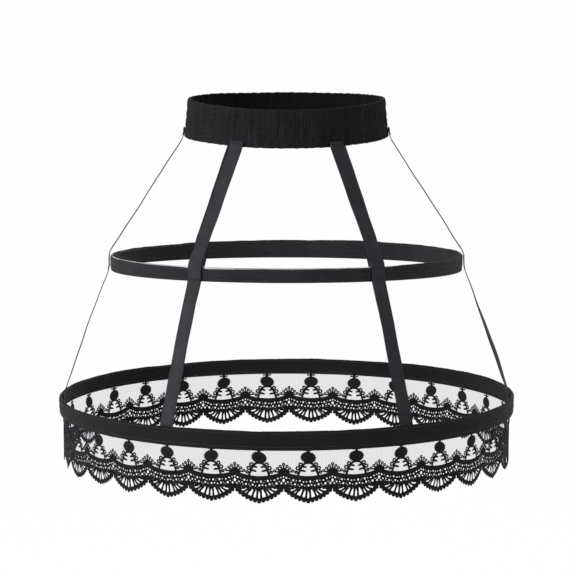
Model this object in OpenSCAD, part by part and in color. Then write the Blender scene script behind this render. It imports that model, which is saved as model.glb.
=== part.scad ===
// Crinoline cage with two hoops: a shirred elastic waistband, six hanging tapes, two cased
// steel hoops and a scalloped lace trim on the lower one.
// Millimetres. +Z is up, the front is at -Y, and the origin is the centre of the waistband.

/* [Waistband] */
// Inside diameter of the waistband as worn
waist_d = 234; // [200:1:320]
// Height of the waistband
waistband_h = 44; // [40:1:64]
// Thickness of the waistband cloth
waist_cloth_t = 0.8; // [0.6:0.1:1.4]
// Width of each elastic
elastic_w = 8; // [5:0.5:9]
// Thickness of each elastic
elastic_t = 1; // [0.6:0.1:1.6]
// Gathers around the waistband
gather_count = 170; // [90:2:220]
// Depth of a gather
gather_depth = 1; // [0.5:0.1:1.6]
// Height of the stitched groove between two shirred rows
groove_h = 1.2; // [0.6:0.1:1.8]
// Depth of that groove below the gathers
groove_depth = 0.4; // [0.2:0.1:0.8]

/* [Hoops] */
// Outside diameter of the upper hoop
upper_hoop_d = 432; // [380:1:480]
// Outside diameter of the lower hoop
lower_hoop_d = 560; // [500:1:640]
// Middle of the waistband to the middle of the upper hoop
upper_drop = 175; // [140:1:220]
// Middle of the upper hoop to the middle of the lower hoop
hoop_spacing = 176; // [130:1:220]
// Tilt of the upper hoop as it hangs, front up
upper_tilt = 3; // [0:0.1:3.5]
// Height of a hoop casing, seam included
casing_w = 19; // [18:0.5:26]
// Height of the seam along the lower edge of a casing
seam_h = 4; // [3:0.5:5]
// Thickness of the casing cloth
casing_cloth_t = 0.8; // [0.6:0.1:1.2]
// Width of the hoop steel
steel_w = 11; // [8:0.5:11.5]
// Thickness of the hoop steel
steel_t = 1; // [0.8:0.1:1.4]
// Gap between the two ends of a steel, in the connector
steel_gap = 2; // [1:0.5:6]
// Length of a connector
connector_l = 36; // [24:1:60]
// Wall of a connector
connector_wall = 0.4; // [0.3:0.1:0.6]

/* [Tapes] */
// Width of a hanging tape
tape_w = 18; // [12:1:24]
// Thickness of a hanging tape
tape_t = 0.9; // [0.6:0.1:1.4]
// Length of tape sewn to the waistband
tape_lap = 11; // [6:1:20]
// Length of tape sewn to the lower casing
tape_end_lap = 12; // [8:0.5:14]
// Lean of the tapes beside the front and the back, lower ends towards the sides
tape_lean = 1.6; // [0:0.1:2]

/* [Lace] */
// Repeats of the lace motif around the hem
lace_repeats = 30; // [26:1:34]
// Turn of the first motif to the right of the front
lace_turn = 5.3; // [0:0.1:12]
// Thickness of the embroidery
lace_t = 0.9; // [0.6:0.1:1.2]
// Thickness of the net
net_t = 0.3; // [0.2:0.05:0.5]
// Lace sewn behind the casing seam
lace_lap = 3; // [2:0.5:3.5]
// Casing down to the middle of the scalloped band
net_depth = 32; // [30:1:40]
// Height of the scalloped band at its middle
band_depth = 28; // [25:1:34]
// Rise of the band between two scallops
crest_rise = 7; // [5:0.5:9]
// Drop of a scallop below the valley beside it
scallop_sag = 16; // [12:0.5:18]
// Diameter of a pompom
pompom_d = 15; // [10:0.5:18]
// Casing down to the middle of a pompom
pompom_drop = 9; // [8:0.5:11]
// Foot of a stem from the middle of its motif
stem_foot = 12.5; // [10:0.5:15]
// Width of a stem
stem_w = 1.6; // [1.2:0.1:2.4]
// Length of a leaflet
leaf_l = 8.5; // [6:0.5:10]
// Length of a loop in the tuft between two motifs
tuft_l = 9; // [5:0.5:11]
// Width of the cord between two motifs
cord_d = 1.6; // [1.4:0.1:2.2]
// Openings in the fan of one scallop
fan_count = 7; // [4:1:8]
// Width of a fan opening
fan_w = 3.2; // [2:0.2:3.6]
// Length of a fan opening
fan_l = 11; // [8:0.5:13]
// Cloth between a fan opening and the edge
fan_edge = 3.4; // [2.4:0.2:4.4]
// Picots along one scallop
picot_count = 11; // [7:1:12]
// Diameter of a picot
picot_d = 5.2; // [3.6:0.2:6]

/* [Fit] */
// Gap between a sewn or sleeved piece and its seat
fit_gap = 0.3; // [0.2:0.05:0.5]

/* [Hidden] */
$fn = 32;
ring_fn = 360;

cloth_black = "#26262a";
lining_black = "#1e1e21";
tape_black = "#34353b";
elastic_black = "#1c1c1e";
steel_grey = "#8f9398";
brass = "#a9925c";
bite = 1;
panel_gap = 0.1;
fold_step = 30;

// Waistband
elastic_rows = 4;
row_h = waistband_h / elastic_rows;
waist_r = waist_d / 2;
cover_r = waist_r + waist_cloth_t + fit_gap;
elastic_r = cover_r;
channel_r = elastic_r + elastic_t + fit_gap;
groove_r = channel_r + waist_cloth_t;
gather_low_r = groove_r + groove_depth;
waist_out_r = gather_low_r + gather_depth;

// Hoops
upper_z = -upper_drop;
lower_z = upper_z - hoop_spacing;
connector_in_t = steel_t + 2 * fit_gap;
connector_in_w = steel_w + 2 * fit_gap;
connector_t = connector_in_t + 2 * connector_wall;
connector_w = connector_in_w + 2 * connector_wall;
pocket_t = connector_t + 2 * fit_gap;
pocket_w = connector_w + 2 * fit_gap;
casing_t = pocket_t + 2 * casing_cloth_t;
tube_h = casing_w - seam_h;
tube_mid = seam_h / 2;
seam_t = 2 * casing_cloth_t + fit_gap;
upper_mid_r = upper_hoop_d / 2 - casing_t / 2;
lower_mid_r = lower_hoop_d / 2 - casing_t / 2;

// Tapes: the middle line in a radial plane, from the waistband down, at an angle from the front
tilt_gap = casing_w / 2 * sin(upper_tilt);
tape_waist_r = waist_out_r + fit_gap + tape_t / 2;
tape_upper_r = upper_hoop_d / 2 + fit_gap + tilt_gap + tape_t / 2;
tape_lower_r = lower_mid_r - casing_t / 2 - 2 * fit_gap - tape_t / 2;
waist_low = -waistband_h / 2;
function upper_z_at(angle) = upper_z + upper_mid_r * cos(angle) * sin(upper_tilt);
function tape_line(angle) = [
    [tape_waist_r, waist_low + tape_lap],
    [tape_waist_r, waist_low],
    [tape_upper_r, upper_z_at(angle) + casing_w / 2],
    [tape_upper_r, upper_z_at(angle) - casing_w / 2],
    [tape_lower_r, lower_z + casing_w / 2],
    [tape_lower_r, lower_z + casing_w / 2 - tape_end_lap]
];

// Lace: one flat panel for each repeat, around a regular polygon
casing_low = lower_z - casing_w / 2;
lace_corner_r = lower_mid_r - seam_t / 2 - fit_gap - cord_d / 2;
lace_r = lace_corner_r * cos(180 / lace_repeats);
pitch = 2 * lace_r * tan(180 / lace_repeats);
half = pitch / 2;
tip_y = -net_depth - band_depth;
valley_y = tip_y + scallop_sag;
crest_y = crest_rise - net_depth;
sag_r = (half * half + scallop_sag * scallop_sag) / (2 * scallop_sag);
rise_r = (half * half + crest_rise * crest_rise) / (2 * crest_rise);
scallop_half_angle = asin(half / sag_r);
fan_step = 1.72 * scallop_half_angle / fan_count;
net_low = net_depth + bite;
stem_top = pompom_drop + pompom_d / 2 - bite;
stem_top_x = pompom_d / 5;
panel_w = pitch - 2 * panel_gap;

// Unit direction from a to b
function way(a, b) = (b - a) / norm(b - a);
// Normal on the right of direction d
function right_of(d) = [d[1], -d[0]];
// Offset of line point i, mitred where the line bends
function mitre(line, i) =
    let (last = len(line) - 1,
         before = way(line[max(i - 1, 0)], line[max(i, 1)]),
         after = way(line[min(i, last - 1)], line[min(i + 1, last)]),
         n = right_of(before) + right_of(after))
    2 * n / (n * n);

// The area within t / 2 of a line with bends
module thick_line(line, t) {
    last = len(line) - 1;
    side_a = [for (i = [0:last]) line[i] + mitre(line, i) * t / 2];
    side_b = [for (i = [last:-1:0]) line[i] - mitre(line, i) * t / 2];
    polygon(concat(side_a, side_b));
}

// A straight stroke with pointed ends from a to b
module stroke(a, b, w) {
    d = way(a, b) * w / 2;
    n = right_of(d);
    polygon([a, a + d + n, b - d + n, b, b - d - n, a + d - n]);
}

// Outline of one shirred row: a ring of folds that lean to one side
module gathered_outline() {
    step = 360 / gather_count;
    points = [for (i = [0:gather_count - 1])
        for (k = [0, 1])
            let (r = k == 0 ? gather_low_r : waist_out_r,
                 a = step * (i + 0.56 * k))
            [r * cos(a), r * sin(a)]];
    polygon(points);
}

// Ring with a rectangular section, between two radii and two heights
module band_ring(r_in, r_out, low, high) {
    rotate_extrude($fn = ring_fn) translate([r_in, low]) square([r_out - r_in, high - low]);
}

function row_mid(i) = waistband_h / 2 - row_h * (i + 0.5);

// Section of the outer cloth without its gathers: a wall with a channel for each elastic
module cover_section() {
    difference() {
        translate([cover_r, -waistband_h / 2]) square([groove_r - cover_r, waistband_h]);
        for (i = [0:elastic_rows - 1])
            translate([cover_r - bite, row_mid(i) - elastic_w / 2 - fit_gap])
                square([channel_r - cover_r + bite, elastic_w + 2 * fit_gap]);
    }
}

module waistband_cover() {
    color(cloth_black) union() {
        rotate_extrude($fn = ring_fn) cover_section();
        for (i = [0:elastic_rows - 1])
            translate([0, 0, row_mid(i) - (row_h - groove_h) / 2])
                linear_extrude(row_h - groove_h)
                    difference() {
                        gathered_outline();
                        circle(r = groove_r - waist_cloth_t / 2, $fn = ring_fn);
                    }
    }
}

module waistband_lining() {
    color(lining_black) band_ring(waist_r, waist_r + waist_cloth_t, -waistband_h / 2, waistband_h / 2);
}

module waist_elastic(i) {
    color(elastic_black)
        band_ring(elastic_r, elastic_r + elastic_t, row_mid(i) - elastic_w / 2, row_mid(i) + elastic_w / 2);
}

// Tape at an angle to the right of the front, leaning about the place where it meets the upper hoop
module hanging_tape(angle) {
    lean = tape_lean * sign(round(10 * sin(2 * angle)));
    color(tape_black)
        rotate([0, 0, angle - 90])
            translate([0, 0, upper_z_at(angle)]) rotate([lean, 0, 0]) translate([0, 0, -upper_z_at(angle)])
                rotate([90, 0, 0])
                    translate([0, 0, -tape_w / 2])
                        linear_extrude(tape_w) thick_line(tape_line(angle), tape_t);
}

// Section of a folded casing: a flat tube with rounded folds, over the two layers of its seam
module casing_section() {
    fold = casing_t / 2;
    fold_y = tube_h / 2 - fold;
    difference() {
        union() {
            translate([0, tube_mid])
                polygon(concat(
                    [for (a = [0:fold_step:180]) [fold * cos(a), fold_y + fold * sin(a)]],
                    [for (a = [180:fold_step:360]) [fold * cos(a), fold * sin(a) - fold_y]]));
            translate([-seam_t / 2, -casing_w / 2]) square([seam_t, seam_h + fold]);
        }
        translate([0, tube_mid]) square([pocket_t, pocket_w], center = true);
        translate([-fit_gap / 2, -casing_w / 2 - bite]) square([fit_gap, casing_w / 2 + bite]);
    }
}

module hoop_casing(mid_r, z, tilt) {
    color(cloth_black)
        translate([0, 0, z]) rotate([-tilt, 0, 0])
            rotate_extrude($fn = ring_fn) translate([mid_r, 0]) casing_section();
}

// Flat steel bent to a ring, with its gap at the back
module hoop_steel(mid_r, z, tilt) {
    gap_angle = 2 * asin(steel_gap / 2 / mid_r);
    color(steel_grey)
        translate([0, 0, z]) rotate([-tilt, 0, 0]) translate([0, 0, tube_mid])
            rotate([0, 0, 90 + gap_angle / 2])
                rotate_extrude(angle = 360 - gap_angle, $fn = ring_fn)
                    translate([mid_r, 0]) square([steel_t, steel_w], center = true);
}

// Sleeve over the two ends of a steel
module hoop_connector(mid_r, z, tilt) {
    sleeve_angle = 2 * asin(connector_l / 2 / mid_r);
    color(brass)
        translate([0, 0, z]) rotate([-tilt, 0, 0]) translate([0, 0, tube_mid])
            rotate([0, 0, 90 - sleeve_angle / 2])
                rotate_extrude(angle = sleeve_angle, $fn = ring_fn)
                    translate([mid_r, 0])
                        difference() {
                            square([connector_t, connector_w], center = true);
                            square([connector_in_t, connector_in_w], center = true);
                        }
}

// Scalloped band of one repeat, with its fan openings and picots
module scallop_band() {
    difference() {
        intersection() {
            translate([-panel_w / 2, tip_y - bite]) square([panel_w, crest_y - tip_y + bite]);
            translate([0, tip_y + sag_r]) circle(r = sag_r);
        }
        translate([0, rise_r - net_depth]) circle(r = rise_r);
        for (k = [0:fan_count - 1])
            translate([0, tip_y + sag_r]) rotate(fan_step * (k - (fan_count - 1) / 2))
                stroke([0, fan_edge - sag_r], [0, fan_edge + fan_l - sag_r], fan_w);
    }
    for (k = [0:picot_count - 1])
        translate([0, tip_y + sag_r])
            rotate(scallop_half_angle * (2 * (k + 0.5) / picot_count - 1))
                translate([0, picot_d / 4 - sag_r]) circle(d = picot_d);
}

// Pompom on its forked stem, with leaflets across the stem
module pompom_stem() {
    translate([0, -pompom_drop]) circle(d = pompom_d);
    translate([-stem_w, -pompom_drop]) square([2 * stem_w, pompom_drop + lace_lap - bite]);
    for (s = [-1, 1]) {
        head = [s * stem_top_x, -stem_top];
        foot = [s * stem_foot, -net_depth - bite];
        stroke(head, foot, stem_w);
        for (k = [0.36, 0.68]) {
            mid = head + (foot - head) * k;
            stroke(mid + leaf_l * [s * 0.4, 0.32], mid - leaf_l * [s * 0.26, 0.21], stem_w);
        }
    }
}

// The loops of a tuft that lie on this side of the cord at x
module crest_tuft(x) {
    for (a = [34, 66])
        stroke([x, crest_y - 2 * bite],
               [x - sign(x) * tuft_l * sin(a), crest_y - 2 * bite + tuft_l * cos(a)], stem_w);
}

// Embroidery of one repeat, cut to the width of its panel
module motif() {
    intersection() {
        union() {
            scallop_band();
            pompom_stem();
            crest_tuft(-half);
            crest_tuft(half);
        }
        translate([-panel_w / 2, tip_y - picot_d]) square([panel_w, picot_d - tip_y + lace_lap]);
    }
}

module lace_panel() {
    translate([0, 0, -lace_t / 2]) linear_extrude(lace_t) motif();
    translate([-panel_w / 2, -net_low, -net_t / 2]) cube([panel_w, net_low + lace_lap, net_t]);
}

// Cord that joins two panels, from the lap down to the valley
module lace_cord() {
    translate([half, -lace_r, valley_y + bite]) cylinder(d = cord_d, h = lace_lap - valley_y - 2 * bite);
}

module lace_trim() {
    color(cloth_black) translate([0, 0, casing_low]) union()
        for (i = [0:lace_repeats - 1])
            rotate([0, 0, lace_turn + 360 / lace_repeats * i]) {
                translate([0, -lace_r, 0]) rotate([90, 0, 0]) lace_panel();
                lace_cord();
            }
}

waistband_cover();
waistband_lining();
waist_elastic(0);  // waist_elastic_1
waist_elastic(1);  // waist_elastic_2
waist_elastic(2);  // waist_elastic_3
waist_elastic(3);  // waist_elastic_4
hanging_tape(30);  // front_right_tape
hanging_tape(90);  // right_side_tape
hanging_tape(150);  // back_right_tape
hanging_tape(210);  // back_left_tape
hanging_tape(270);  // left_side_tape
hanging_tape(330);  // front_left_tape
hoop_casing(upper_mid_r, upper_z, upper_tilt);  // upper_hoop_casing
hoop_steel(upper_mid_r, upper_z, upper_tilt);  // upper_hoop_steel
hoop_connector(upper_mid_r, upper_z, upper_tilt);  // upper_hoop_connector
hoop_casing(lower_mid_r, lower_z, 0);  // lower_hoop_casing
hoop_steel(lower_mid_r, lower_z, 0);  // lower_hoop_steel
hoop_connector(lower_mid_r, lower_z, 0);  // lower_hoop_connector
lace_trim();
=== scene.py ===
import math

import bpy
import numpy as np
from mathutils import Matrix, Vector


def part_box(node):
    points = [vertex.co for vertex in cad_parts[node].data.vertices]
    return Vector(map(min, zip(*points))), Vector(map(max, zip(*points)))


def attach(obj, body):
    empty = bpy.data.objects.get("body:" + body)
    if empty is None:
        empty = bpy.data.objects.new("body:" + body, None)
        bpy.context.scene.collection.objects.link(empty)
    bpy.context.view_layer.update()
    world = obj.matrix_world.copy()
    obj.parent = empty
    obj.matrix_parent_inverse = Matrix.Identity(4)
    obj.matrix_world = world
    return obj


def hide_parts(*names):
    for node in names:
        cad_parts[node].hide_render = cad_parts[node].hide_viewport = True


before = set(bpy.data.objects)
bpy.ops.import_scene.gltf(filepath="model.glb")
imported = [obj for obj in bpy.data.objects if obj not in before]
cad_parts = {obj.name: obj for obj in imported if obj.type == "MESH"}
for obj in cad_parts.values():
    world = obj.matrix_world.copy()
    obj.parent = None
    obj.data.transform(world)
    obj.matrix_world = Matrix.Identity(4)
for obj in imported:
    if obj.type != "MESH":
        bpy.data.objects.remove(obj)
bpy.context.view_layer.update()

# Waistband: two layers of black cotton, stitched together in rows over four elastics that
# draw the cloth into fine upright gathers. The top edge is rolled over, and the lower edge
# stands out a little below the last row of stitching.
MM = 0.001
band_low, band_high = (np.array(corner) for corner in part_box("waistband_cover"))
BAND_TOP = band_high[2]
BAND_FOOT = band_low[2]
BAND_R = band_high[0]
LINING_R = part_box("waistband_lining")[1][0] - 0.0008
ROWS = 4
ROW_H = (BAND_TOP - BAND_FOOT) / ROWS
GATHERS = 280
STEPS_PER_GATHER = 5
FLARE = 0.004
SADDLE = 0.0017
LINING_STEPS = 12
OUTSIDE_STEPS = 41
FULLNESS = 2.0
BAND_ACROSS = 0.1


def new_piece(name, points, quads, cloth_uv):
    """Makes a mesh object of quads. The quads are turned round where the volume that they
    close comes out negative, so that faces point outwards. cloth_uv holds each corner's
    place on the cloth in metres, along and across."""
    a, b, c, d = (points[quads[:, k]] for k in range(4))
    volume = (a * (np.cross(b, c) + np.cross(c, d))).sum()
    if volume < 0:
        quads, cloth_uv = quads[:, ::-1], cloth_uv[:, ::-1]
    mesh = bpy.data.meshes.new(name)
    mesh.vertices.add(len(points))
    mesh.vertices.foreach_set("co", points.astype(np.float32).ravel())
    mesh.loops.add(quads.size)
    mesh.loops.foreach_set("vertex_index", quads.astype(np.int32).ravel())
    mesh.polygons.add(len(quads))
    mesh.polygons.foreach_set("loop_start", np.arange(0, quads.size, 4, dtype=np.int32))
    mesh.polygons.foreach_set("use_smooth", np.ones(len(quads), bool))
    mesh.uv_layers.new(name="cloth")
    mesh.uv_layers["cloth"].uv.foreach_set("vector", cloth_uv.astype(np.float32).ravel())
    mesh.update(calc_edges=True)
    piece = bpy.data.objects.new(name, mesh)
    bpy.context.scene.collection.objects.link(piece)
    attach(piece, "root")
    return piece


def tube_faces(rings, sides, closed, along, around):
    """Quads and cloth lengths of a tube of rings, each with an even number of points. A closed
    tube joins its last ring to its first, and an open one gets a cap of quads on both ends."""
    i, j = (
        k.ravel()
        for k in np.meshgrid(
            np.arange(rings if closed else rings - 1), np.arange(sides), indexing="ij"
        )
    )
    corners = ((0, 0), (1, 0), (1, 1), (0, 1))
    quads = np.stack([((i + p) % rings) * sides + (j + q) % sides for p, q in corners], 1)
    uv = np.stack(
        [np.stack([(i + p) / rings * along, (j + q) / sides * around], 1) for p, q in corners], 1
    )
    if closed:
        return quads, uv
    k = np.arange(sides // 2 - 1)
    cap = np.stack([k, k + 1, sides - 2 - k, sides - 1 - k], 1)
    last = (rings - 1) * sides + cap[:, ::-1]
    cap_uv = np.zeros((len(cap), 4, 2))
    return np.concatenate([quads, cap, last]), np.concatenate([uv, cap_uv, cap_uv])


def ring_of_cloth(name, grid, along, across):
    """A closed ring: grid[i, j] is point j of a closed section at step i around the ring, and
    both ways join up. along and across are the cloth's two lengths in metres."""
    quads, uv = tube_faces(*grid.shape[:2], True, along, across)
    return new_piece(name, grid.reshape(-1, 3), quads, uv)


def wobble(angle, seed, *counts):
    """Smooth unevenness from -1 to 1 that joins up around the ring: a mean of sine waves,
    with one wave for each count of waves in a full turn."""
    waves = [np.sin(n * angle + 1.7 * seed + 2.3 * k) for k, n in enumerate(counts)]
    return sum(waves) / len(waves)


def section_through(corners, steps):
    """A closed section through the corners, as a smooth curve with equal steps: each stretch
    is a cubic that leaves and meets its corners along the line between their neighbours."""
    p = np.asarray(corners, float)
    t = np.linspace(0, len(p), steps, endpoint=False)
    k = t.astype(int)
    f = (t - k)[:, None]
    p0, p1, p2, p3 = (p[(k + s) % len(p)] for s in (-1, 0, 1, 2))
    return 0.5 * (
        2 * p1
        + (p2 - p0) * f
        + (2 * p0 - 5 * p1 + 4 * p2 - p3) * f**2
        + (3 * p1 - p0 - 3 * p2 + p3) * f**3
    )


def gathered_band():
    """The waistband as a ring of gathers. A section runs up the lining, over the roll, down
    the outside and under the lower edge. Outside, the radius is the band's own plus a puff in
    each row, a half sine between two stitch lines, plus the gathers: upright ridges with sharp
    valleys, whose width, height and lean vary around the waist and from row to row. The lower
    edge flares outwards, and the band rides up at the hips as a saddle does."""
    angle = np.linspace(0, 2 * math.pi, GATHERS * STEPS_PER_GATHER, endpoint=False)[:, None]
    inside_z = np.linspace(BAND_FOOT, BAND_TOP, LINING_STEPS)
    outside_z = np.linspace(BAND_TOP - 0.5 * MM, BAND_FOOT + 0.5 * MM, OUTSIDE_STEPS)
    roll = [(0.0, 0.6), (0.8, 1.1), (2.0, 1.2), (3.0, 0.7)]
    under = [(4.0, -0.4), (3.0, -0.8), (1.5, -0.8), (0.3, -0.5)]
    r = np.concatenate([
        np.full(LINING_STEPS, LINING_R),
        [LINING_R + x * MM for x, _ in roll],
        np.full(OUTSIDE_STEPS, BAND_R - 1.1 * MM),
        [LINING_R + x * MM for x, _ in under],
    ])
    z = np.concatenate([
        inside_z,
        [BAND_TOP + y * MM for _, y in roll],
        outside_z,
        [BAND_FOOT + y * MM for _, y in under],
    ])
    steps = (LINING_STEPS, len(roll), OUTSIDE_STEPS, len(under))
    side = np.repeat((-0.55, 0.6, 1.0, 0.9), steps)
    row = (BAND_TOP - z) / ROW_H
    puff = np.abs(np.sin(math.pi * row)) ** 0.55
    lean = 0.9 * wobble(angle, 1, 11, 23, 41) + 0.45 * wobble(angle + 0.4 * row, 5, 31, 57, 83)
    row_number = np.floor(np.clip(row, 0, ROWS - 0.01))
    shift = 0.8 * wobble(angle, 7, 19, 37, 61) * np.sin(2.1 * row_number + 0.4)
    wave = GATHERS * angle / 2 + 2.2 * lean + shift
    ridge = 1 - np.abs(np.cos(wave)) ** 1.4
    height = 0.85 + 0.5 * wobble(angle, 3, 43, 71, 97) + 0.3 * wobble(angle + row, 9, 29, 67)
    flare = (FLARE * np.clip(row / ROWS, 0, 1) ** 1.5 - 0.5 * MM) * (r > LINING_R + 2 * MM)
    radius = r + flare + side * MM * (0.75 * puff + 1.7 * height * (ridge - 0.5) - 0.3)
    drop = MM * (0.4 * wobble(angle, 2, 3, 5, 8) + 0.3 * wobble(angle, 4, 47, 79))
    edge = np.clip(np.abs(z) / BAND_TOP, 0, 1) ** 6
    height_z = z + drop * edge - SADDLE * np.cos(2 * angle)
    grid = np.stack([radius * np.sin(angle), -radius * np.cos(angle), height_z], 2)
    return ring_of_cloth("shirred_waistband", grid, 2 * math.pi * BAND_R * FULLNESS, BAND_ACROSS)


def new_finish(name):
    """A new material, with its nodes, its links and its shader."""
    material = bpy.data.materials.new(name)
    material.use_nodes = True
    nodes = material.node_tree.nodes
    return material, nodes, material.node_tree.links, nodes["Principled BSDF"]


def dyed(finish, pattern, dark, light, ends=(0, 1)):
    """Colours a finish from dark to light, as a pattern's value runs between the two ends."""
    _, nodes, links, shader = finish
    dye = nodes.new("ShaderNodeValToRGB")
    for stop, end, shade in zip(dye.color_ramp.elements, ends, (dark, light)):
        stop.position = end
        stop.color = (*shade, 1)
    links.new(pattern, dye.inputs["Fac"])
    links.new(dye.outputs["Color"], shader.inputs["Base Color"])


def roughened(finish, pattern, least, most):
    """Lets a finish's roughness follow a pattern."""
    _, nodes, links, shader = finish
    rough = nodes.new("ShaderNodeMapRange")
    rough.inputs["To Min"].default_value = least
    rough.inputs["To Max"].default_value = most
    links.new(pattern, rough.inputs["Value"])
    links.new(rough.outputs["Result"], shader.inputs["Roughness"])


def raised(finish, pattern, strength):
    """Raises the threads of a finish along a pattern, as a bump of 0.3 mm at most."""
    _, nodes, links, shader = finish
    relief = nodes.new("ShaderNodeBump")
    relief.inputs["Strength"].default_value = strength
    relief.inputs["Distance"].default_value = 0.0003
    links.new(pattern, relief.inputs["Height"])
    links.new(relief.outputs["Normal"], shader.inputs["Normal"])


def cotton(name, shade, light, thread, bump, roughness):
    """Woven cotton: two sets of threads cross on the cloth's own lengths, and a slow noise
    fades the black towards a lighter shade, as dye does. thread is the pitch in metres."""
    finish = new_finish(name)
    material, nodes, links, shader = finish
    shader.inputs["Sheen Weight"].default_value = 0.03
    shader.inputs["Sheen Roughness"].default_value = 0.45
    shader.inputs["Specular IOR Level"].default_value = 0.17
    place = nodes.new("ShaderNodeUVMap")
    place.uv_map = "cloth"
    threads = []
    for direction in ("X", "Y"):
        wave = nodes.new("ShaderNodeTexWave")
        wave.bands_direction = direction
        wave.inputs["Scale"].default_value = math.pi / (10 * thread)
        wave.inputs["Distortion"].default_value = 0.6
        wave.inputs["Detail"].default_value = 1
        links.new(place.outputs["UV"], wave.inputs["Vector"])
        threads.append(wave)
    weave = nodes.new("ShaderNodeMath")
    weave.operation = "MULTIPLY"
    links.new(threads[0].outputs["Fac"], weave.inputs[0])
    links.new(threads[1].outputs["Fac"], weave.inputs[1])
    spot = nodes.new("ShaderNodeTexCoord")
    fade = nodes.new("ShaderNodeTexNoise")
    fade.inputs["Scale"].default_value = 45
    fade.inputs["Detail"].default_value = 6
    fade.inputs["Roughness"].default_value = 0.65
    links.new(spot.outputs["Object"], fade.inputs["Vector"])
    worn = nodes.new("ShaderNodeMath")
    worn.operation = "MULTIPLY_ADD"
    worn.inputs[1].default_value = 0.2
    links.new(weave.outputs["Value"], worn.inputs[0])
    links.new(fade.outputs["Fac"], worn.inputs[2])
    dyed(finish, worn.outputs["Value"], shade, light, (0.3, 0.95))
    roughened(finish, fade.outputs["Fac"], roughness - 0.08, roughness + 0.1)
    raised(finish, weave.outputs["Value"], bump)
    return material


shirred_waistband = gathered_band()
shirred_waistband.data.materials.append(
    cotton("shirred_cotton", (0.0055, 0.0055, 0.0063), (0.021, 0.021, 0.0245), 0.0005, 0.5, 0.82)
)
# The lining's cotton is a near-black copy of the outside cloth: painted shade for the inside of the
# band, which lies in shadow.
shirred_waistband.data.materials.append(
    cotton("lining_cotton", (0.0004, 0.0004, 0.0005), (0.0014, 0.0014, 0.0016), 0.0005, 0.4, 0.9)
)
face_count = len(shirred_waistband.data.polygons)
section_count = face_count // (GATHERS * STEPS_PER_GATHER)
on_lining = np.arange(face_count) % section_count < LINING_STEPS
shirred_waistband.data.polygons.foreach_set("material_index", on_lining.astype(np.int32))
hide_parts("waistband_cover", "waistband_lining")


# Elastics: four flat rings of braided elastic inside the waistband. They stay as the solids
# have them, with ribs along the braid.
def braided_elastic():
    """Black braid: fine ribs around the ring, on the height of each elastic."""
    finish = new_finish("braided_elastic")
    material, nodes, links, shader = finish
    shader.inputs["Roughness"].default_value = 0.75
    spot = nodes.new("ShaderNodeTexCoord")
    rib = nodes.new("ShaderNodeTexWave")
    rib.bands_direction = "Z"
    rib.inputs["Scale"].default_value = 320
    rib.inputs["Distortion"].default_value = 0.4
    links.new(spot.outputs["Object"], rib.inputs["Vector"])
    dyed(finish, rib.outputs["Fac"], (0.006, 0.006, 0.006), (0.022, 0.022, 0.023))
    raised(finish, rib.outputs["Fac"], 0.4)
    return material


def dress_node(node, material):
    """Gives a CAD node's own mesh one material."""
    mesh = bpy.data.objects[node].data
    mesh.materials.clear()
    mesh.materials.append(material)


elastic_braid = braided_elastic()
for number in range(1, ROWS + 1):
    dress_node(f"waist_elastic_{number}", elastic_braid)


# Hoop steels and connectors: flat spring steel bent to a ring, with its two ends in a brass
# sleeve at the back. Both are inside the casings, and keep their solids.
def drawn_metal(name, dark, bright, roughness):
    """Rolled strip: a noise stretched along the height of the strip streaks the metal."""
    finish = new_finish(name)
    material, nodes, links, shader = finish
    shader.inputs["Metallic"].default_value = 1
    spot = nodes.new("ShaderNodeTexCoord")
    stretch = nodes.new("ShaderNodeMapping")
    stretch.inputs["Scale"].default_value = (30, 30, 1800)
    links.new(spot.outputs["Object"], stretch.inputs["Vector"])
    streak = nodes.new("ShaderNodeTexNoise")
    streak.inputs["Scale"].default_value = 1
    streak.inputs["Detail"].default_value = 5
    links.new(stretch.outputs["Vector"], streak.inputs["Vector"])
    dyed(finish, streak.outputs["Fac"], dark, bright)
    roughened(finish, streak.outputs["Fac"], roughness - 0.08, roughness + 0.12)
    return material


spring_steel = drawn_metal("spring_steel", (0.3, 0.31, 0.33), (0.55, 0.56, 0.58), 0.34)
sleeve_brass = drawn_metal("sleeve_brass", (0.34, 0.25, 0.1), (0.6, 0.48, 0.24), 0.36)
for hoop in ("upper", "lower"):
    dress_node(f"{hoop}_hoop_steel", spring_steel)
    dress_node(f"{hoop}_hoop_connector", sleeve_brass)


# Hoop casings: bias tape folded over the steel and stitched shut along the lower edge, so
# that it stands as a flat tube over a thin seam. The bias cloth puckers along its stitching,
# and it is rolled on the steel, so that its edges rise and dip around the hoop.
SEAM_H = 0.004
CASING_T = 0.0046
CASING_H = 0.019
CASING_STEPS = 1400
SECTION_STEPS = 42
CASING_ACROSS = 0.044


def hoop_place(node):
    """A hoop's middle radius, middle height and tilt, front up, from its casing's box: a tilted
    ring is as much higher than its casing as its middle circle rises from back to front."""
    low, high = (np.array(corner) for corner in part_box(node))
    rise = high[2] - low[2] - CASING_H
    tilt = math.asin(max(rise, 0) / (2 * high[0]))
    return high[0] - CASING_T / 2, (high[2] + low[2]) / 2, tilt


def tilted(points, mid_z, tilt):
    """Points of a level hoop around the origin, turned front up about the line from left to
    right and then let down to the hoop's own height."""
    x, y, z = np.moveaxis(points, -1, 0)
    c, s = math.cos(tilt), math.sin(tilt)
    return np.stack([x, y * c + z * s, mid_z - y * s + z * c], -1)


CASING_ROLLS = {
    "upper_hoop_casing": ((-0.0034, -25), (-0.0034, 170)),
    "lower_hoop_casing": ((0.0034, 50), (-0.0008, 0)),
}


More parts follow.
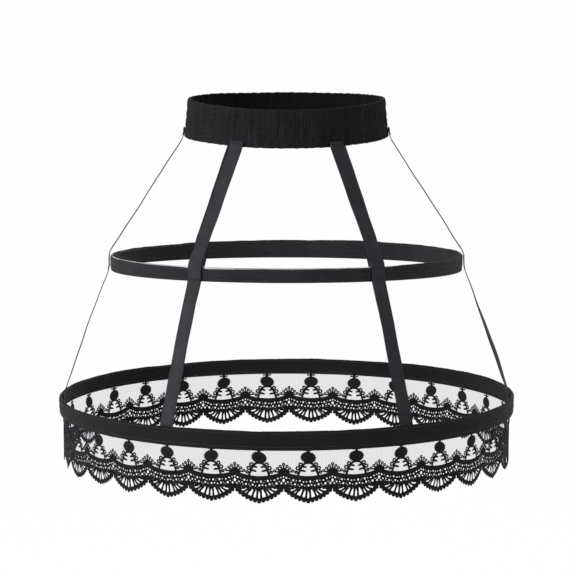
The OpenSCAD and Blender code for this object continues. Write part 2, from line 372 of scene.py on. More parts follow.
def casing_ease(node, angle, up):
    """How far the cloth at a height in a casing is drawn up, because the casing is rolled on its
    steel: the top edge and the foot each move most at one angle, in degrees from the front, and
    not at all on the far side of the hoop."""
    (top, top_at), (foot, foot_at) = CASING_ROLLS[node]
    share = 0.5 + up / CASING_H
    near_top = 0.5 + 0.5 * np.cos(angle - math.radians(top_at))
    near_foot = 0.5 + 0.5 * np.cos(angle - math.radians(foot_at))
    return top * near_top * share + foot * near_foot * (1 - share)


def puckered_casing(name, node, seed):
    """A casing as a ring. The section is a flat tube with soft edges over a seam, and the
    surface moves in and out with slanting puckers that are deepest beside the stitching and
    fade over the steel."""
    mid_r, mid_z, tilt = hoop_place(node)
    half_h = CASING_H / 2
    out = CASING_T / 2
    seam = 0.0011
    neck = -half_h + SEAM_H
    section = section_through(
        [
            (out * 0.86, half_h * 0.1),
            (out, half_h * 0.55),
            (out * 0.78, half_h * 0.86),
            (0, half_h * 1.02),
            (-out * 0.78, half_h * 0.86),
            (-out, half_h * 0.55),
            (-out * 0.86, half_h * 0.1),
            (-out * 0.9, neck * 0.55),
            (-seam * 1.1, neck * 1.02),
            (-seam * 1.25, -half_h * 0.86),
            (0, -half_h * 1.02),
            (seam * 1.25, -half_h * 0.86),
            (seam * 1.1, neck * 1.02),
            (out * 0.9, neck * 0.55),
        ],
        SECTION_STEPS,
    )
    angle = np.linspace(0, 2 * math.pi, CASING_STEPS, endpoint=False)[:, None]
    across, up = section[:, 0], section[:, 1]
    face = np.sign(across) * np.clip(np.abs(across) / seam, 0, 1)
    near_seam = np.exp(-(((up - neck) / 0.0028) ** 2))
    near_top = np.exp(-(((up - half_h * 0.86) / 0.003) ** 2))
    slant = angle + up * 1.6 / mid_r
    fine = wobble(slant, seed, 131, 173, 211, 257)
    slow = wobble(slant, seed + 3, 29, 47, 71)
    pucker = fine * (0.00012 + 0.00038 * near_seam + 0.00022 * near_top) + 0.00012 * slow
    radius = mid_r + across + face * pucker
    rise = 0.0007 * wobble(angle, seed + 5, 3, 7, 13)
    rise = rise + 0.00025 * wobble(angle, seed + 8, 23, 37, 53)
    rise = rise * (0.5 + 0.5 * up / half_h) + 0.00018 * fine * (near_top - near_seam)
    rise = rise + casing_ease(node, angle, up)
    grid = np.stack([radius * np.sin(angle), -radius * np.cos(angle), up + rise], 2)
    return ring_of_cloth(name, tilted(grid, mid_z, tilt), 2 * math.pi * mid_r, CASING_ACROSS)


# The two casings are one cotton in a lit and a shaded copy: the upper one's lighter, bluer dye is
# painted light, and the lower one's darker dye is painted shade.
CASING_LIT_AND_SHADED_DYES = {
    "upper": ((0.0078, 0.008, 0.0098), (0.0225, 0.023, 0.027)),
    "lower": ((0.002, 0.002, 0.0026), (0.0085, 0.0085, 0.0105)),
}
for seed, (hoop, (shade, light)) in zip((2, 11), CASING_LIT_AND_SHADED_DYES.items()):
    casing = puckered_casing(f"puckered_{hoop}_casing", f"{hoop}_hoop_casing", seed)
    casing.data.materials.append(cotton(f"{hoop}_casing_cotton_painted_lighting", shade, light, 0.00045, 0.45, 0.72))
    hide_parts(f"{hoop}_hoop_casing")


# Hanging tapes: flat woven tape, sewn on the outside of the waistband with its end turned
# under, laid over the outside of the upper casing and sewn inside the lower one.
TAPE_T = 0.0009
TAPE_ANGLES = {
    "front_right_tape": 30,
    "right_side_tape": 90,
    "back_right_tape": 150,
    "back_left_tape": 210,
    "left_side_tape": 270,
    "front_left_tape": 330,
}
TAPE_TWISTS = {"right_side_tape": 14, "left_side_tape": 2, "back_left_tape": -3}
SEAT_GAP = 0.0006
TAPE_LEAN = math.radians(1.6)
END_DROP = 0.0072
TURNED_END = 0.0095
FOOT_OUT = 0.0025
LAP_IN = 0.0014
ROUTE_STEPS = 420
EASE_STEPS = 27
UPPER_R, UPPER_Z, UPPER_TILT = hoop_place("upper_hoop_casing")
LOWER_R, LOWER_Z, _ = hoop_place("lower_hoop_casing")
tape_low, tape_high = (np.array(corner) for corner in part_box("right_side_tape"))
TAPE_W = tape_high[1] - tape_low[1]


def hoop_height(degrees):
    """The height of the upper hoop's middle at an angle from the front, in degrees."""
    return UPPER_Z + UPPER_R * math.cos(math.radians(degrees)) * math.sin(UPPER_TILT)


def tape_end(degrees):
    """The height of a tape's upper end. The tapes towards the front are sewn on lower, nearer the
    edge of the waistband, and the others start where their solids do."""
    return tape_high[2] - END_DROP * max(math.cos(math.radians(degrees)), 0)


def tape_route(degrees):
    """The tape's middle line in a radial plane, as distance from the axis and height. It is
    the solid's own line with its bends eased. It starts on the flare of the waistband, meets
    the upper hoop at the hoop's height there, and bows out by a millimetre below it."""
    seat = SEAT_GAP + TAPE_T / 2
    waist_r = BAND_R + seat + 0.0006
    upper_r = UPPER_R + CASING_T / 2 + seat + CASING_H / 2 * math.sin(UPPER_TILT)
    lower_r = LOWER_R - CASING_T / 2 - seat
    upper_z = hoop_height(degrees)
    upper_top, upper_foot = upper_z + CASING_H / 2, upper_z - CASING_H / 2
    lower_top = LOWER_Z + CASING_H / 2
    end_z = tape_end(degrees)
    lap = (end_z - BAND_FOOT) / (tape_high[2] - BAND_FOOT)
    corners = np.array([
        (waist_r + FOOT_OUT - LAP_IN * lap, end_z),
        (waist_r + FOOT_OUT - LAP_IN / 2 * lap, (end_z + BAND_FOOT) / 2),
        (waist_r + FOOT_OUT, BAND_FOOT - 0.0005),
        (upper_r, upper_top + 0.0005),
        (upper_r, upper_z),
        (upper_r + 0.0003, upper_foot),
        (lower_r - 0.0022, lower_top + 0.006),
        (lower_r, lower_top - 0.004),
        (lower_r, tape_low[2]),
    ])
    lengths = np.concatenate([[0], np.cumsum(np.hypot(*np.diff(corners, axis=0).T))])
    s = np.linspace(0, lengths[-1], ROUTE_STEPS)
    line = np.stack([np.interp(s, lengths, corners[:, k]) for k in (0, 1)], 1)
    ease = np.hanning(EASE_STEPS)
    ease /= ease.sum()
    reach = EASE_STEPS // 2
    padded = np.concatenate([
        2 * line[:1] - line[reach:0:-1], line, 2 * line[-1:] - line[-2 : -2 - reach : -1]
    ])
    eased = np.stack([np.convolve(padded[:, k], ease, "valid") for k in (0, 1)], 1)
    below = (upper_foot - eased[:, 1]) / (upper_foot - lower_top)
    eased[:, 0] += 0.0012 * np.sin(math.pi * np.clip(below, 0, 1))
    return s, eased


def tape_shift(degrees, height):
    """How far a tape lies to the right of its own angle at a height. The tapes beside the front
    and the back lean about the upper hoop, with their lower ends towards the sides."""
    side = np.sign(np.round(math.sin(2 * math.radians(degrees)), 6))
    return side * math.tan(TAPE_LEAN) * (hoop_height(degrees) - height)


def woven_tape(name, degrees, twist, seed):
    """A tape as a flat tube: a thin section with rounded selvedges is carried down the route.
    The end on the waistband is twice as thick, since it is turned under, and the tape cups and
    waves by parts of a millimetre between its seams. It turns about its own line between the
    hoops, by twist degrees at most, two thirds of the way down."""
    s, route = tape_route(degrees)
    length = s[-1]
    along = np.gradient(route, axis=0)
    along /= np.hypot(along[:, 0], along[:, 1])[:, None]
    out = np.stack([-along[:, 1], along[:, 0]], 1)
    turn = np.linspace(0, 2 * math.pi, 36, endpoint=False)
    side = np.sign(np.cos(turn)) * np.abs(np.cos(turn)) ** 0.45
    face = np.sign(np.sin(turn)) * np.abs(np.sin(turn)) ** 0.7
    turned = TURNED_END - tape_high[2] + tape_end(degrees)
    fold = 1 + 0.9 / (1 + np.exp((s - turned) / 0.0006))
    wave = 0.0003 * np.sin(s * 61 + seed) + 0.0002 * np.sin(s * 137 + 2 * seed)
    free = np.sin(math.pi * np.clip(s / length, 0, 1)) ** 0.5
    cup = 0.00035 * free[:, None] * (side[None, :] ** 2 - 0.5)
    selvedge = 1 + 0.25 * np.exp(-(((np.abs(side) - 0.9) / 0.07) ** 2))
    lift = fold[:, None] * face * selvedge * TAPE_T / 2 + (wave * free)[:, None] - cup
    lift = lift + np.maximum(fold - 1, 0)[:, None] * TAPE_T / 2
    width = TAPE_W / 2 * (1 + 0.012 * np.sin(s * 93 + seed))[:, None] * side
    upper_z = hoop_height(degrees)
    below = np.clip((upper_z - route[:, 1]) / (upper_z - LOWER_Z) / 0.9 - 0.07, 0, 1)
    roll = math.radians(twist) * np.sin(math.pi * below**1.7)[:, None]
    lift, width = (
        lift * np.cos(roll) + width * np.sin(roll),
        width * np.cos(roll) - lift * np.sin(roll),
    )
    r = route[:, 0, None] + out[:, 0, None] * lift
    z = route[:, 1, None] + out[:, 1, None] * lift
    width = width + tape_shift(degrees, z)
    angle = math.radians(degrees)
    x = r * math.sin(angle) + width * math.cos(angle)
    y = -r * math.cos(angle) + width * math.sin(angle)
    points = np.stack([x, y, z], 2)
    quads, uv = tube_faces(*points.shape[:2], False, length, 2 * TAPE_W)
    return new_piece(name, points.reshape(-1, 3), quads, uv)


tape_twill = cotton(
    "tape_twill", (0.0145, 0.0152, 0.0185), (0.039, 0.0405, 0.0485), 0.0007, 0.55, 0.66
)
for seed, (node, degrees) in enumerate(TAPE_ANGLES.items()):
    tape = woven_tape(f"woven_{node}", degrees, TAPE_TWISTS.get(node, 0), seed)
    tape.data.materials.append(tape_twill)
    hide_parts(node)
    cut = (TAPE_W, tape_route(degrees)[0][-1])


# Stitching: black thread, in running stitches along both edges of each casing and in close
# bars across each tape where it is sewn to the waistband and to the hoops.
def thread_stitches(name, middle, along, out, length, width):
    """Small grains of thread, each given by its middle, its way along and its way out of the
    cloth. A grain is a closed tube of five rings of six points that narrows at both ends."""
    side = np.cross(along, out)
    turn = np.arange(6) * math.pi / 3
    reach = np.array([-0.5, -0.3, 0.0, 0.3, 0.5])
    girth = np.array([0.3, 0.9, 1.0, 0.9, 0.3])
    local = (
        reach[:, None, None, None] * length * along
        + (girth[:, None] * np.cos(turn))[:, :, None, None] * width / 2 * side
        + (girth[:, None] * np.sin(turn))[:, :, None, None] * width / 2 * out
    )
    points = np.moveaxis(middle + local, 2, 0)
    count, rings, sides = points.shape[:3]
    quads, uv = tube_faces(rings, sides, False, length, width * 3)
    first = rings * sides * np.arange(count)
    all_quads = (quads + first[:, None, None]).reshape(-1, 4)
    all_uv = np.broadcast_to(uv, (count, *uv.shape)).reshape(-1, 4, 2)
    return new_piece(name, points.reshape(-1, 3), all_quads, all_uv)


def polar(radius, angle):
    """A point at a radius and an angle from the front, to the right seen from the front."""
    return np.stack([radius * np.sin(angle), -radius * np.cos(angle)], -1)


STITCH_PITCH = 0.0034
STITCH_L = 0.0026
THREAD_W = 0.00055
BAR_INSET = 0.0016
BAR_GAP = 0.0026
SECOND_BAR = 0.0082
HOOP_BARS = (0.0082, -0.0062)
BAR_L = 0.0021
BAR_W = 0.0005


def casing_seam(node, height_share, side_offset, side):
    """Running stitches around a casing, at a share of its half height and on one face."""
    mid_r, mid_z, tilt = hoop_place(node)
    count = int(2 * math.pi * mid_r / STITCH_PITCH)
    angle = (np.arange(count) + 0.5) * 2 * math.pi / count
    at = polar(mid_r + side * side_offset, angle)
    height = height_share * CASING_H / 2
    middle = np.column_stack([at, height + casing_ease(node, angle, height)])
    along = np.column_stack([np.cos(angle), np.sin(angle), 0.06 * np.sin(7 * angle)])
    out = np.column_stack([side * polar(1.0, angle), np.zeros(count)])
    return tilted(middle, mid_z, tilt), tilted(along, 0, tilt), tilted(out, 0, tilt)


def tape_bars(degrees):
    """Bars of upright stitches across a tape: two on the turned end at the waistband and two
    over the upper casing, with the stitches a thread apart."""
    _, route = tape_route(degrees)
    way = np.gradient(route, axis=0)
    way /= np.hypot(way[:, 0], way[:, 1])[:, None]
    upper_z = hoop_height(degrees)
    angle = math.radians(degrees)
    ahead = np.array([math.sin(angle), -math.cos(angle), 0])
    right = np.array([math.cos(angle), math.sin(angle), 0])
    up = np.array([0, 0, 1])
    first = tape_end(degrees) - BAR_INSET
    heights = [first, min(first - BAR_GAP, tape_high[2] - SECOND_BAR)]
    for over in HOOP_BARS:
        heights.append(upper_z + over + casing_ease("upper_hoop_casing", angle, over))
    across = np.linspace(-0.43, 0.43, 17)[:, None] * TAPE_W
    middle, along, out = [], [], []
    for z, layers in zip(heights, (1.4, 1.4, 0.5, 0.5)):
        step = np.abs(route[:, 1] - z).argmin()
        r = route[step, 0] + layers * TAPE_T + 0.0001
        middle.append(r * ahead + (across + tape_shift(degrees, z)) * right + route[step, 1] * up)
        along.append(np.broadcast_to(way[step, 0] * ahead + way[step, 1] * up, (len(across), 3)))
        out.append(np.broadcast_to(ahead, (len(across), 3)))
    return tuple(np.concatenate(part) for part in (middle, along, out))


def sewing_thread():
    """Twisted black thread, a little glossier than the cloth: fine bands along each stitch."""
    finish = new_finish("sewing_thread")
    material, nodes, links, shader = finish
    shader.inputs["Roughness"].default_value = 0.5
    shader.inputs["Sheen Weight"].default_value = 0.15
    place = nodes.new("ShaderNodeUVMap")
    place.uv_map = "cloth"
    twist = nodes.new("ShaderNodeTexWave")
    twist.bands_direction = "DIAGONAL"
    twist.inputs["Scale"].default_value = 700
    links.new(place.outputs["UV"], twist.inputs["Vector"])
    dyed(finish, twist.outputs["Fac"], (0.005, 0.005, 0.006), (0.018, 0.018, 0.021))
    return material


black_thread = sewing_thread()
SEAM_LINES = ((-0.62, 0.00135), (0.78, 0.00205))
for hoop in ("upper", "lower"):
    rows = [
        casing_seam(f"{hoop}_hoop_casing", share, offset, side)
        for share, offset in SEAM_LINES
        for side in (1, -1)
    ]
    middle, along, out = (np.concatenate(part) for part in zip(*rows))
    seam = thread_stitches(f"{hoop}_casing_stitches", middle, along, out, STITCH_L, THREAD_W)
    seam.data.materials.append(black_thread)
rows = [tape_bars(degrees) for degrees in TAPE_ANGLES.values()]
middle, along, out = (np.concatenate(part) for part in zip(*rows))
bars = thread_stitches("tape_bar_stitches", middle, along, out, BAR_L, BAR_W)
bars.data.materials.append(black_thread)


# Lace: one strip of black embroidery on fine net, sewn behind the seam of the lower casing. Each
# repeat has a satin pompom on a forked stem with leaflets, a bush of loops beside it, and a
# scallop of eyelets, spokes and picots along the hem.
REPEATS = 30
FIRST_TURN = math.radians(5.3)
lace_low, lace_high = (np.array(corner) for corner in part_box("lace_trim"))
LACE_R = (lace_high[0] + lace_high[1]) / 2 - 0.0012
LACE_TOP = LOWER_Z - CASING_H / 2
PITCH = 2 * math.pi * LACE_R / REPEATS / MM
HALF = PITCH / 2
HEM_EXTRA = 2.5
DROP = (LACE_TOP - lace_low[2]) / MM + HEM_EXTRA
SAG = 15.2
SAG_R = (HALF**2 + SAG**2) / (2 * SAG)
SAG_TURN = math.asin(HALF / SAG_R)
CREST = 27.0
BAND_MID = 31.5
POMPOM_Y = 9.8
POMPOM_R = 9.2
POMPOM_LEAN = 0.3
FORK_HALF = 11.9
CORD_T = 0.85
POINTED = 0.3


def hem_line(x):
    """The hem below the casing, in millimetres: an arc between two valleys, drawn by a share of
    POINTED towards the two straight lines from the valleys to the tip."""
    x = np.clip(np.abs(x), 0, HALF)
    arc = DROP - SAG_R + np.sqrt(SAG_R**2 - x**2)
    return (1 - POINTED) * arc + POINTED * (DROP - SAG * x / HALF)


def scallop_line(x, share):
    """A line along the scalloped band, in millimetres below the casing: at share 0 it is the
    top of the band, a parabola that rises to each crest, and at share 1 the hem."""
    top = BAND_MID - (BAND_MID - CREST) * (x / HALF) ** 2
    return top + share * (hem_line(x) - top)


def along_hem(share, inset):
    """A point beside the hem: share runs from -1 to 1 between the two valleys, and inset is how
    far the point lies inside the edge, towards the middle of the arc, in millimetres."""
    turn = share * SAG_TURN
    x = SAG_R * np.sin(turn)
    return x - inset * np.sin(turn), hem_line(x) - inset * np.cos(turn)


def lace_cord(path, width, height, closed=False):
    """A cord of embroidery in the plane of the lace: a flat six-sided section, width by height
    in millimetres, is carried along a path. width may vary along the path."""
    path = np.asarray(path, float)
    step = np.roll(path, -1, 0) - np.roll(path, 1, 0) if closed else np.gradient(path, axis=0)
    step /= np.hypot(step[:, 0], step[:, 1])[:, None]
    across = np.stack([step[:, 1], -step[:, 0]], 1)
    turn = np.arange(6) * math.pi / 3
    half_w = np.broadcast_to(width, len(path))[:, None] / 2 * np.cos(turn)
    half_h = np.broadcast_to(height / 2 * np.sin(turn), half_w.shape)
    flat = path[:, None, :] + half_w[:, :, None] * across[:, None, :]
    points = np.concatenate([flat, half_h[:, :, None]], 2)
    length = np.hypot(*np.diff(path, axis=0).T).sum()
    girth = 2 * float(np.mean(width))
    quads, uv = tube_faces(len(path), len(turn), closed, length * MM, girth * MM)
    return points.reshape(-1, 3), quads, uv


def ring_path(x, y, radius, steps, squash=1.0):
    """A circle, or an oval where squash isn't 1, around x and y."""
    turn = np.linspace(0, 2 * math.pi, steps, endpoint=False)
    return np.stack([x + radius * np.cos(turn), y + squash * radius * np.sin(turn)], 1)


def loop_path(x, y, degrees, length, width, steps=12):
    """A drop-shaped loop that starts at x and y and points up at an angle from upright."""
    turn = np.linspace(0, 2 * math.pi, steps, endpoint=False) + 0.2
    reach = length * (1 - np.cos(turn)) / 2
    side = width * np.sin(turn) * np.sin(turn / 2)
    a = math.radians(degrees)
    return np.stack([x + reach * math.sin(a) + side * math.cos(a),
                     y - reach * math.cos(a) + side * math.sin(a)], 1)


def bent_path(start, bend, end, steps=10):
    """A curve from start to end that leans towards bend, as a quadratic."""
    t = np.linspace(0, 1, steps)[:, None]
    start, bend, end = (np.array(p, float) for p in (start, bend, end))
    return (1 - t) ** 2 * start + 2 * t * (1 - t) * bend + t**2 * end


def satin_pompom(y, radius, squash, rise):
    """A raised oval of satin stitches: rings from the back to the front of a low dome, with
    ridges around them where the stitches lie side by side."""
    rings, stitches = 11, 22
    turn = np.linspace(0, 2 * math.pi, 2 * stitches, endpoint=False)
    lift = np.linspace(-1, 1, rings)
    girth = np.sqrt(np.clip(1 - np.abs(lift) ** 2.4, 0.003, 1))
    ridge = 1 + 0.07 * np.cos(stitches * turn) * np.clip(girth[:, None], 0, 1)
    r = radius * girth[:, None] * ridge
    height = np.where(lift < 0, 0.5, 1.0) * lift * rise
    bumps = 0.12 * np.cos(stitches * turn) * girth[:, None]
    height = height[:, None] + bumps
    points = np.stack([r * np.cos(turn), y + squash * r * np.sin(turn), height], 2)
    quads, uv = tube_faces(rings, 2 * stitches, False, 0.004, 2 * math.pi * radius * MM)
    return points.reshape(-1, 3), quads, uv


def tapered(width, steps):
    """A width that is full in the middle and narrow at both ends, as a leaf is."""
    return width * (0.5 + 0.5 * np.sin(math.pi * np.linspace(0.08, 0.92, steps)))


def joined(cords):
    """Several cords as one set of points, quads and cloth lengths."""
    starts = np.cumsum([0] + [len(points) for points, _, _ in cords[:-1]])
    points = np.concatenate([points for points, _, _ in cords])
    quads = np.concatenate([quads + start for (_, quads, _), start in zip(cords, starts)])
    return points, quads, np.concatenate([uv for _, _, uv in cords])


def around_the_hem(angle, below, out):
    """Puts lace on the hoop: angle from the front, metres below the casing and metres out of
    the lace. The strip leans in a little towards the hem and waves between its repeats."""
    wave = 0.0009 * np.sin(15 * angle + 0.6) + 0.0007 * np.sin(23 * angle)
    wave = wave + 0.0005 * np.sin(41 * angle)
    hang = np.clip(below / (DROP * MM), 0, 1)
    radius = LACE_R - 0.0012 * hang + wave * hang + out
    level = LACE_TOP - below + 0.0005 * hang * np.sin(19 * angle + 1)
    return np.stack([radius * np.sin(angle), -radius * np.cos(angle), level], -1)


def repeated_lace(name, cords, lean=0.0):
    """Carries one motif around the hem: every repeat is the same cords at its own angle. lean
    turns the motif in its own plane about the middle of the pompom, to and fro by so many
    radians at most, as hand-guided work does."""
    points, quads, uv = joined(cords)
    number = np.arange(REPEATS)[:, None]
    turn = lean * np.sin(2.4 * number + 0.7)
    x, y = points[:, 0], points[:, 1] - POMPOM_Y
    along = x * np.cos(turn) - y * np.sin(turn)
    below = (POMPOM_Y + x * np.sin(turn) + y * np.cos(turn)) * MM
    angle = FIRST_TURN + 2 * math.pi / REPEATS * number + along * MM / LACE_R
    out = np.broadcast_to(points[:, 2] * MM, angle.shape)
    placed = around_the_hem(angle, below, out).reshape(-1, 3)
    all_quads = (quads + len(points) * number[:, :, None]).reshape(-1, 4)
    all_uv = np.broadcast_to(uv, (REPEATS, *uv.shape)).reshape(-1, 4, 2)
    return new_piece(name, placed, all_quads, all_uv)


def flower_cords():
    """One repeat of the flowers: the bar above the pompom, the forked stem, leaflets inside it
    and rings outside it, and the loops of the bush on the crest."""
    cords = [lace_cord(bent_path((-5.4, 0.8), (0, 1.6), (5.4, 0.8), 8), 1.9, 1.0)]
    cords.append(lace_cord(bent_path((0, -1), (0, 1), (0, 4), 4), 3.4, 0.9))
    x = np.linspace(-FORK_HALF, FORK_HALF, 25)
    fork = np.stack([x, 16.0 + 15.2 * (np.abs(x) / FORK_HALF) ** 2.8], 1)
    cords.append(lace_cord(fork, 2.8, 1.0))
    for s in (-1, 1):
        for base, tip in (((8.2, 20.4), (2.0, 21.4)), ((10.2, 25.0), (3.0, 26.2))):
            middle = ((base[0] + tip[0]) / 2 * s, (base[1] + tip[1]) / 2 - 0.8)
            path = bent_path((base[0] * s, base[1]), middle, (tip[0] * s, tip[1]), 7)
            cords.append(lace_cord(path, tapered(2.7, 7), 0.9))
        for px, py, radius in ((9.0, 17.8, 1.9), (12.2, 22.2, 2.0), (14.2, 27.0, 1.4)):
            cords.append(lace_cord(ring_path(px * s, py, radius, 10, 0.9), 2.0, CORD_T, True))
        for foot, out, tip in ((23.8, 3.5, 21.0), (25.8, 6.7, 23.6), (27.4, 10.2, 26.4)):
            bend = ((HALF - out / 2) * s, foot - 0.6)
            branch = bent_path((HALF * s, foot), bend, ((HALF - out) * s, tip), 6)
            cords.append(lace_cord(branch, 1.9, CORD_T))
            bud = ring_path((HALF - out - 0.4) * s, tip - 1, 1.25, 8)
            cords.append(lace_cord(bud, 1.6, CORD_T, True))
        for lean, size in ((26, 6.4), (64, 7.0)):
            loop = loop_path((HALF - 0.4) * s, 29.2, -lean * s, size, 1.6)
            cords.append(lace_cord(loop, 1.5, CORD_T, True))
    cords.append(lace_cord(bent_path((HALF, 30), (HALF, 24), (HALF, 18.8), 6), 2.1, 0.9))
    cords.append(lace_cord(ring_path(HALF, 17.6, 1.3, 8), 1.7, CORD_T, True))
    return cords


FAN_SHARE = 0.51
FAN_HALF = 16.5
FAN_TURN = 0.94
FAN_DIP = 0.14
VALLEY_LAP = 0.9


def scallop_cords():
    """One repeat of the scallop: filled strips along its top, a fan of spokes with solid cloth
    beside it, a heavy edge and a row of picots."""
    cords = []
    strips = ((0.085, 0, 5.4, 0), (0.285, 0.05, 1.7, 3), (0.465, FAN_DIP, 3.2, 3))
    for share, dip, width, short in strips:
        x = np.linspace(short - HALF, HALF - short, 25)
        line = scallop_line(x, share + dip * (x / HALF) ** 2)
        cords.append(lace_cord(np.stack([x, line], 1), width, 0.9))
    for k, t in enumerate(np.linspace(-1, 1, 10)):
        t = t + 0.03 * math.sin(2.3 * k)
        x = t * FAN_HALF
        start = (x, scallop_line(x, FAN_SHARE + FAN_DIP * (x / HALF) ** 2))
        end = along_hem(t * FAN_TURN, 5.0)
        sway = 1.2 * math.sin(5.3 * k + 0.8)
        bend = (start[0] * 0.6 + end[0] * 0.4 + sway, start[1] * 0.4 + end[1] * 0.6)
        width = 2.5 + 1.2 * np.linspace(-1, 1, 7) ** 2
        cords.append(lace_cord(bent_path(start, bend, end, 7), width, CORD_T))
    for s in (-1, 1):
        for share, first in ((0.67, 22.2), (0.82, 25.4)):
            side = np.linspace(first, HALF + VALLEY_LAP, 8) * s
            cords.append(lace_cord(np.stack([side, scallop_line(side, share)], 1), 3.3, CORD_T))
    rim = np.stack(along_hem(np.linspace(-1.03, 1.03, 27), 3.9), 1)
    cords.append(lace_cord(rim, 3.8, 1.0))
    for t in np.linspace(-0.94, 0.94, 13):
        at, y = along_hem(t, 2.0)
        cords.append(lace_cord(ring_path(at, y, 1.35, 8), 2.5, 0.95, True))
    return cords


def eyelet_cords():
    """One repeat of the eyelets: two uneven rows of small rings in the top of the scallop,
    and an upright ring in the valley beside it."""
    cords = []
    for share, dip, count in ((0.22, 0.02, 14), (0.352, 0.08, 13)):
        for k, at in enumerate((np.arange(count) + 0.5 - count / 2) * 2 * HALF / 14.5):
            uneven = math.sin(2.7 * k + 9 * share)
            y = scallop_line(at, share + dip * (at / HALF) ** 2) + 0.6 * math.sin(4.1 * k + share)
            ring = ring_path(at + 0.5 * uneven, y, 1.9 + 0.35 * uneven, 9)
            cords.append(lace_cord(ring, 2.0, CORD_T, True))
    valley = ring_path(HALF, scallop_line(HALF, 0.46), 2.3, 10, 1.2)
    cords.append(lace_cord(valley, 1.8, CORD_T, True))
    return cords


def embroidery_thread():
    """Rayon thread laid side by side: fine bands across each cord, and a soft sheen."""
    finish = new_finish("embroidery_thread")
    material, nodes, links, shader = finish
    shader.inputs["Specular IOR Level"].default_value = 0.12
    place = nodes.new("ShaderNodeUVMap")
    place.uv_map = "cloth"
    strand = nodes.new("ShaderNodeTexWave")
    strand.bands_direction = "X"
    strand.inputs["Scale"].default_value = 620
    strand.inputs["Distortion"].default_value = 1.2
    links.new(place.outputs["UV"], strand.inputs["Vector"])
    spot = nodes.new("ShaderNodeTexCoord")
    fade = nodes.new("ShaderNodeTexNoise")
    fade.inputs["Scale"].default_value = 140
    fade.inputs["Detail"].default_value = 4
    links.new(spot.outputs["Object"], fade.inputs["Vector"])
    mixed = nodes.new("ShaderNodeMath")
    mixed.operation = "MULTIPLY"
    links.new(strand.outputs["Fac"], mixed.inputs[0])
    links.new(fade.outputs["Fac"], mixed.inputs[1])
    shades = (0.003, 0.003, 0.0035), (0.011, 0.011, 0.0125)
    dyed(finish, mixed.outputs["Value"], *shades, (0, 0.7))
    roughened(finish, fade.outputs["Fac"], 0.5, 0.75)
    raised(finish, strand.outputs["Fac"], 0.5)
    return material


thread_black = embroidery_thread()
lace_scallops = repeated_lace("lace_scallops", scallop_cords())
lace_eyelets = repeated_lace("lace_eyelets", eyelet_cords())
lace_flowers = repeated_lace("lace_flowers", flower_cords())
pompom = satin_pompom(POMPOM_Y, POMPOM_R, 0.75, 1.1)
lace_pompoms = repeated_lace("lace_pompoms", [pompom], POMPOM_LEAN)
embroidery = (lace_scallops, lace_eyelets, lace_flowers, lace_pompoms)
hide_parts("lace_trim")
for piece in embroidery:
    piece.data.materials.append(thread_black)


# Net: the sheer ground of the lace, a fine six-sided mesh of black thread that shows as a
# grey veil between the casing and the scallops. Its top edge is caught in the casing's seam.
NET_LAP = 3.0
NET_T = 0.00025
NET_STEPS = 12
NET_PITCH = 0.0016


def net_ground():
    """The net as a closed thin ring: an outer and an inner wall, a thread apart, from the lap
    behind the seam down into the top of the scalloped band."""
    steps = REPEATS * 24
    angle = np.linspace(0, 2 * math.pi, steps, endpoint=False)[:, None]
    repeat = 2 * math.pi / REPEATS
    x = ((angle - FIRST_TURN + repeat / 2) % repeat - repeat / 2) * LACE_R / MM
    foot = scallop_line(x, 0.1)
    share = np.concatenate([np.linspace(0, 1, NET_STEPS), np.linspace(1, 0, NET_STEPS)])
    wall = np.repeat((NET_T / 2, -NET_T / 2), NET_STEPS)
    below = (-NET_LAP + (foot + NET_LAP) * share) * MM
    grid = around_the_hem(np.broadcast_to(angle, below.shape), below, wall)
    return ring_of_cloth("lace_net", grid, 2 * math.pi * LACE_R, 2 * (BAND_MID + NET_LAP) * MM)


def sheer_net():
    """Net of fine thread: three sets of parallel threads at sixty degrees show, and the rest is
    clear, so that most of the light passes."""
    finish = new_finish("sheer_net")
    material, nodes, links, shader = finish
    shader.inputs["Roughness"].default_value = 0.9
    shader.inputs["Specular IOR Level"].default_value = 0.05
    place = nodes.new("ShaderNodeUVMap")
    place.uv_map = "cloth"
    strands = None
    for degrees in (0, 60, 120):
        turned = nodes.new("ShaderNodeMapping")
        turned.inputs["Rotation"].default_value = (0, 0, math.radians(degrees))
        links.new(place.outputs["UV"], turned.inputs["Vector"])
        wave = nodes.new("ShaderNodeTexWave")
        wave.inputs["Scale"].default_value = math.pi / (10 * NET_PITCH)
        links.new(turned.outputs["Vector"], wave.inputs["Vector"])
        if strands is None:
            strands = wave.outputs["Fac"]
        else:
            most = nodes.new("ShaderNodeMath")
            most.operation = "MAXIMUM"
            links.new(strands, most.inputs[0])
            links.new(wave.outputs["Fac"], most.inputs[1])
            strands = most.outputs["Value"]
    cover = nodes.new("ShaderNodeMapRange")
    cover.inputs["From Min"].default_value = 0.93
    cover.inputs["From Max"].default_value = 1
    cover.inputs["To Min"].default_value = 0.05
    cover.inputs["To Max"].default_value = 0.28
    links.new(strands, cover.inputs["Value"])
    links.new(cover.outputs["Result"], shader.inputs["Alpha"])
    dyed(finish, strands, (0.02, 0.02, 0.027), (0.05, 0.05, 0.072))
    return material


lace_net = net_ground()
lace_net.data.materials.append(sheer_net())


# Studio: a wide pale floor at the height that it has under a wearer, a white surround, and
# three large soft lamps. The cage hangs from its waist as it is worn, as in the photograph.
FLOOR_Z = -1.02
FLOOR_HALF = 150.0


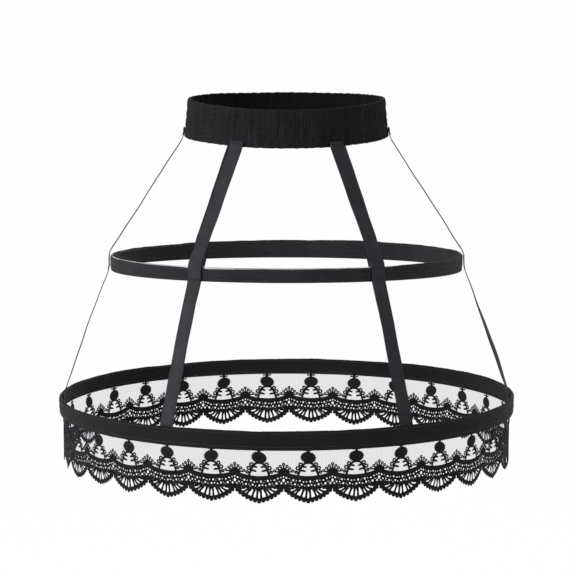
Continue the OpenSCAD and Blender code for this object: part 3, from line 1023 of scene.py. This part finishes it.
def studio_floor():
    """A plain square floor, and its pale material: mostly white to the camera, with a little of
    its own shading left for the soft shadow, and clear to a view from below."""
    mesh = bpy.data.meshes.new("studio_floor")
    h = FLOOR_HALF
    corners = [(-h, -h, FLOOR_Z), (h, -h, FLOOR_Z), (h, h, FLOOR_Z), (-h, h, FLOOR_Z)]
    mesh.from_pydata(corners, [], [(0, 1, 2, 3)])
    floor = bpy.data.objects.new("studio_floor", mesh)
    bpy.context.scene.collection.objects.link(floor)
    material = bpy.data.materials.new("pale_floor")
    material.use_nodes = True
    nodes, links = material.node_tree.nodes, material.node_tree.links
    nodes.clear()
    output = nodes.new("ShaderNodeOutputMaterial")
    paint = nodes.new("ShaderNodeBsdfDiffuse")
    paint.inputs["Color"].default_value = (0.9, 0.9, 0.9, 1)
    white = nodes.new("ShaderNodeEmission")
    white.inputs["Strength"].default_value = 1
    seen = nodes.new("ShaderNodeLightPath")
    either = nodes.new("ShaderNodeMath")
    either.operation = "MAXIMUM"
    links.new(seen.outputs["Is Camera Ray"], either.inputs[0])
    links.new(seen.outputs["Is Glossy Ray"], either.inputs[1])
    part = nodes.new("ShaderNodeMath")
    part.operation = "MULTIPLY"
    part.inputs[1].default_value = 0.985
    links.new(either.outputs["Value"], part.inputs[0])
    mix = nodes.new("ShaderNodeMixShader")
    links.new(part.outputs["Value"], mix.inputs["Fac"])
    links.new(paint.outputs["BSDF"], mix.inputs[1])
    links.new(white.outputs["Emission"], mix.inputs[2])
    face = nodes.new("ShaderNodeNewGeometry")
    clear = nodes.new("ShaderNodeBsdfTransparent")
    from_above = nodes.new("ShaderNodeMixShader")
    links.new(face.outputs["Backfacing"], from_above.inputs["Fac"])
    links.new(mix.outputs["Shader"], from_above.inputs[1])
    links.new(clear.outputs["BSDF"], from_above.inputs[2])
    links.new(from_above.outputs["Shader"], output.inputs["Surface"])
    mesh.materials.append(material)
    return floor


def soft_lamp(name, place, size, power):
    """A square area lamp that faces the middle of the cage."""
    lamp = bpy.data.lights.new(name, "AREA")
    lamp.size = size
    lamp.energy = power
    stand = bpy.data.objects.new(name, lamp)
    stand.location = place
    aim = np.array([0, 0, -0.2]) - np.array(place)
    stand.rotation_euler = (
        math.acos(-aim[2] / np.linalg.norm(aim)),
        0,
        math.atan2(aim[1], aim[0]) - math.pi / 2,
    )
    bpy.context.scene.collection.objects.link(stand)


studio_floor()
soft_lamp("key_lamp", (-2.5, -1.5, 0.9), 0.6, 84)
soft_lamp("fill_lamp", (2.2, -1.6, 0.6), 1.6, 18)
soft_lamp("back_lamp", (0.4, 2.3, 1.6), 1.8, 34)

world = bpy.data.worlds.new("white_surround")
world.use_nodes = True
sky_nodes, sky_links = world.node_tree.nodes, world.node_tree.links
surround = sky_nodes["Background"]
surround.inputs["Color"].default_value = (1, 1, 1, 1)
seen = sky_nodes.new("ShaderNodeLightPath")
level = sky_nodes.new("ShaderNodeMapRange")
level.inputs["To Min"].default_value = 0.36
level.inputs["To Max"].default_value = 1
sky_links.new(seen.outputs["Is Camera Ray"], level.inputs["Value"])
sky_links.new(level.outputs["Result"], surround.inputs["Strength"])
bpy.context.scene.world = world
bpy.context.scene.view_settings.view_transform = "Standard"

# Camera: a long lens in front of the cage, a little above its waist, that looks down on the
# hoops as the photograph does. The frame is as wide at the cage as the photograph's.
CAMERA_FAR = 4.7
CAMERA_RISE = math.radians(7.9)
AIM_Z = -0.2072
PICTURE_PIXELS = 573
METRES_PER_PIXEL = 0.0012281
SENSOR = 36

camera = bpy.data.cameras.new("photo_camera")
camera.sensor_width = SENSOR
camera.lens = SENSOR * CAMERA_FAR / (PICTURE_PIXELS * METRES_PER_PIXEL)
camera.clip_end = 400
tripod = bpy.data.objects.new("photo_camera", camera)
tripod.location = (
    0,
    -CAMERA_FAR * math.cos(CAMERA_RISE),
    AIM_Z + CAMERA_FAR * math.sin(CAMERA_RISE),
)
tripod.rotation_euler = (math.pi / 2 - CAMERA_RISE, 0, 0)
bpy.context.scene.collection.objects.link(tripod)
bpy.context.scene.camera = tripod
